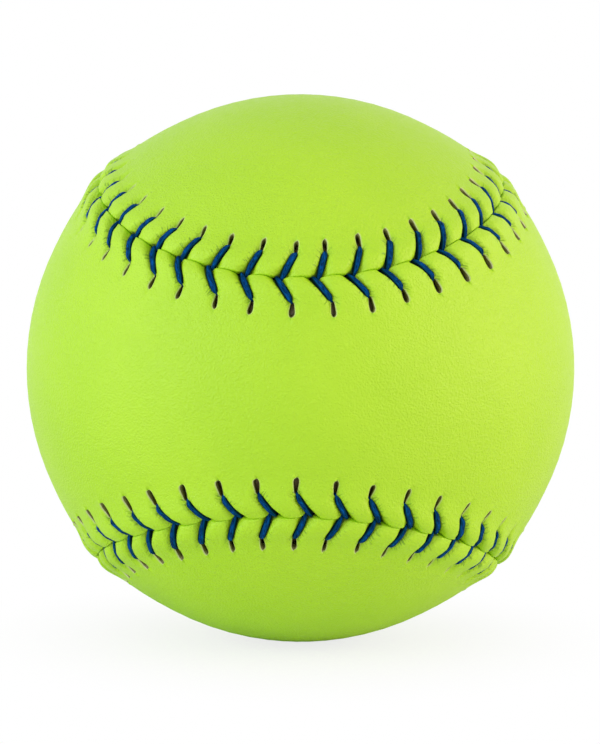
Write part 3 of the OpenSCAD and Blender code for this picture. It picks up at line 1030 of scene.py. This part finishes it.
class SOFTBALL_OT_cover_panels(bpy.types.Operator):
    """Make the two leather panels of the cover"""
    bl_idname = "softball.cover_panels"
    bl_label = "Cover Panels"

    def execute(self, context):
        material = leather_material(context.scene.softball_cover)
        cover_panel(context.scene, FRONT, "front_panel_leather", "front_cover_panel", material)
        cover_panel(context.scene, REAR, "rear_panel_leather", "rear_cover_panel", material)
        return {"FINISHED"}


class SOFTBALL_OT_stitching(bpy.types.Operator):
    """Make the two threads that sew the panels together"""
    bl_idname = "softball.stitching"
    bl_label = "Stitching"

    def execute(self, context):
        material = thread_material(context.scene.softball_stitch)
        thread(context.scene, FRONT, "first_sewing_thread", "first_thread", material)
        thread(context.scene, REAR, "second_sewing_thread", "second_thread", material)
        return {"FINISHED"}


class SOFTBALL_OT_core(bpy.types.Operator):
    """Give the core and its cement layer their finishes"""
    bl_idname = "softball.core"
    bl_label = "Core and Cement"

    def execute(self, context):
        colours = context.scene.softball_core
        for node, material in (("core", core_material(colours)), ("cement_layer", cement_material(colours))):
            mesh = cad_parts[node].data
            mesh.materials.clear()
            mesh.materials.append(material)
        return {"FINISHED"}


class SOFTBALL_OT_stage(bpy.types.Operator):
    """Set up the camera, the lamps and the floor"""
    bl_idname = "softball.stage"
    bl_label = "Studio"

    def execute(self, context):
        sizes = context.scene.softball_stage
        make_camera(context.scene, sizes)
        make_lamps(context.scene, sizes)
        make_floor(context.scene, sizes)
        make_world(context.scene, sizes)
        context.scene.view_settings.view_transform = "Standard"
        return {"FINISHED"}


def make_camera(scene, sizes):
    """A camera where the photograph was taken from."""
    azimuth, elevation, roll = sizes.azimuth, sizes.elevation, sizes.roll
    level = math.cos(elevation)
    back = Vector((math.sin(azimuth) * level, -math.cos(azimuth) * level, math.sin(elevation)))
    right = Vector((math.cos(azimuth), math.sin(azimuth), 0))
    up = back.cross(right)
    turned_right = math.cos(roll) * right + math.sin(roll) * up
    turned_up = back.cross(turned_right)
    data = bpy.data.cameras.new("camera")
    data.sensor_width = 36
    data.lens = sizes.focal_share * data.sensor_width
    data.shift_x, data.shift_y = -0.5 / PICTURE, -4 / PICTURE
    camera = bpy.data.objects.new("camera", data)
    camera.matrix_world = (Matrix.Translation(back * sizes.distance)
                           @ Matrix((turned_right, turned_up, back)).transposed().to_4x4())
    scene.collection.objects.link(camera)
    scene.camera = camera


def make_lamps(scene, sizes):
    """A soft lamp above the camera and one at each side, of which the right one is warmer."""
    for name, place, width, power, colour in (
            ("key", (-0.15, -0.85, 0.75), 0.7, sizes.key_power, (1, 1, 1)),
            ("left", (-0.9, -0.5, 0.2), 0.8, sizes.side_power, (1.12, 1.12, 1.12)),
            ("right", (1.0, -0.2, 0.2), 0.8, sizes.side_power, (1.56, 1.13, 0.9))):
        data = bpy.data.lights.new(name + "_lamp", "AREA")
        data.shape, data.size, data.energy, data.color = "SQUARE", width, power, colour
        lamp = bpy.data.objects.new(name + "_lamp", data)
        lamp.location = place
        lamp.rotation_euler = Vector(place).to_track_quat("Z", "Y").to_euler()
        scene.collection.objects.link(lamp)


def make_floor(scene, sizes):
    """A pale floor that keeps the ball's shadow and runs out into white."""
    bm = bmesh.new()
    bmesh.ops.create_grid(bm, x_segments=1, y_segments=1, size=3.0)
    mesh = bpy.data.meshes.new("studio_floor")
    bm.to_mesh(mesh)
    bm.free()
    n = Nodes(bpy.data.materials.new("studio_floor"))
    reach = n.add("VectorMath", links={0: n.place()}, operation="LENGTH").outputs["Value"]
    seen, mirrored = n.rays()
    direct = n.plus(0.6, n.times(n.ramp(reach, 0.02, 0.08), 0.4))
    white = n.math("MAXIMUM", n.times(seen, direct), n.times(mirrored, n.ramp(reach, 0.1, 0.5)))
    floor = n.add("BsdfDiffuse", {"Color": (*sizes.floor_colour, 1)})
    glow = n.add("Emission", {"Color": (1, 1, 1, 1), "Strength": 1.0})
    mix = n.add("MixShader", links={0: white, 1: floor.outputs[0], 2: glow.outputs[0]})
    mesh.materials.append(n.finish(mix))
    mesh.transform(Matrix.Translation((0, 0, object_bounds()[0].z)))
    floor_object = bpy.data.objects.new("studio_floor", mesh)
    scene.collection.objects.link(floor_object)
    floor_object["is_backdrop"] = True


def make_world(scene, sizes):
    """Even light from all round, and a white background."""
    n = Nodes(bpy.data.worlds.new("studio"))
    white = n.math("MAXIMUM", *n.rays())
    strength = n.add("MapRange", {"To Min": sizes.ambient}, {"Value": white}).outputs["Result"]
    light = n.add("Background", {"Color": (1, 1, 1, 1)}, {"Strength": strength})
    scene.world = n.finish(light, "OutputWorld")


class SOFTBALL_PT_sidebar(bpy.types.Panel):
    """The softball's sizes and the buttons that make its pieces"""
    bl_idname = "SOFTBALL_PT_sidebar"
    bl_label = "Softball"
    bl_space_type = "VIEW_3D"
    bl_region_type = "UI"
    bl_category = "Softball"

    def draw(self, context):
        for title, name, operator in (
                ("Seam", "softball_seam", None),
                ("Cover", "softball_cover", SOFTBALL_OT_cover_panels.bl_idname),
                ("Stitching", "softball_stitch", SOFTBALL_OT_stitching.bl_idname),
                ("Core and Cement", "softball_core", SOFTBALL_OT_core.bl_idname),
                ("Studio", "softball_stage", SOFTBALL_OT_stage.bl_idname)):
            box = self.layout.box()
            box.label(text=title)
            group = getattr(context.scene, name)
            for key in group.__annotations__:
                box.prop(group, key)
            if operator:
                box.operator(operator)


GROUPS = {"softball_seam": SeamSizes, "softball_cover": CoverSizes, "softball_stitch": StitchSizes,
          "softball_core": CoreColours, "softball_stage": StageSizes}
CLASSES = (*GROUPS.values(), SOFTBALL_OT_cover_panels, SOFTBALL_OT_stitching, SOFTBALL_OT_core,
           SOFTBALL_OT_stage, SOFTBALL_PT_sidebar)


def register():
    for item in CLASSES:
        bpy.utils.register_class(item)
    for name, group in GROUPS.items():
        setattr(bpy.types.Scene, name, PointerProperty(type=group))


def unregister():
    for name in GROUPS:
        delattr(bpy.types.Scene, name)
    for item in reversed(CLASSES):
        bpy.utils.unregister_class(item)


def main():
    register()
    bpy.ops.softball.cover_panels()
    bpy.ops.softball.stitching()
    bpy.ops.softball.core()
    bpy.ops.softball.stage()


if __name__ == "__main__":
    main()
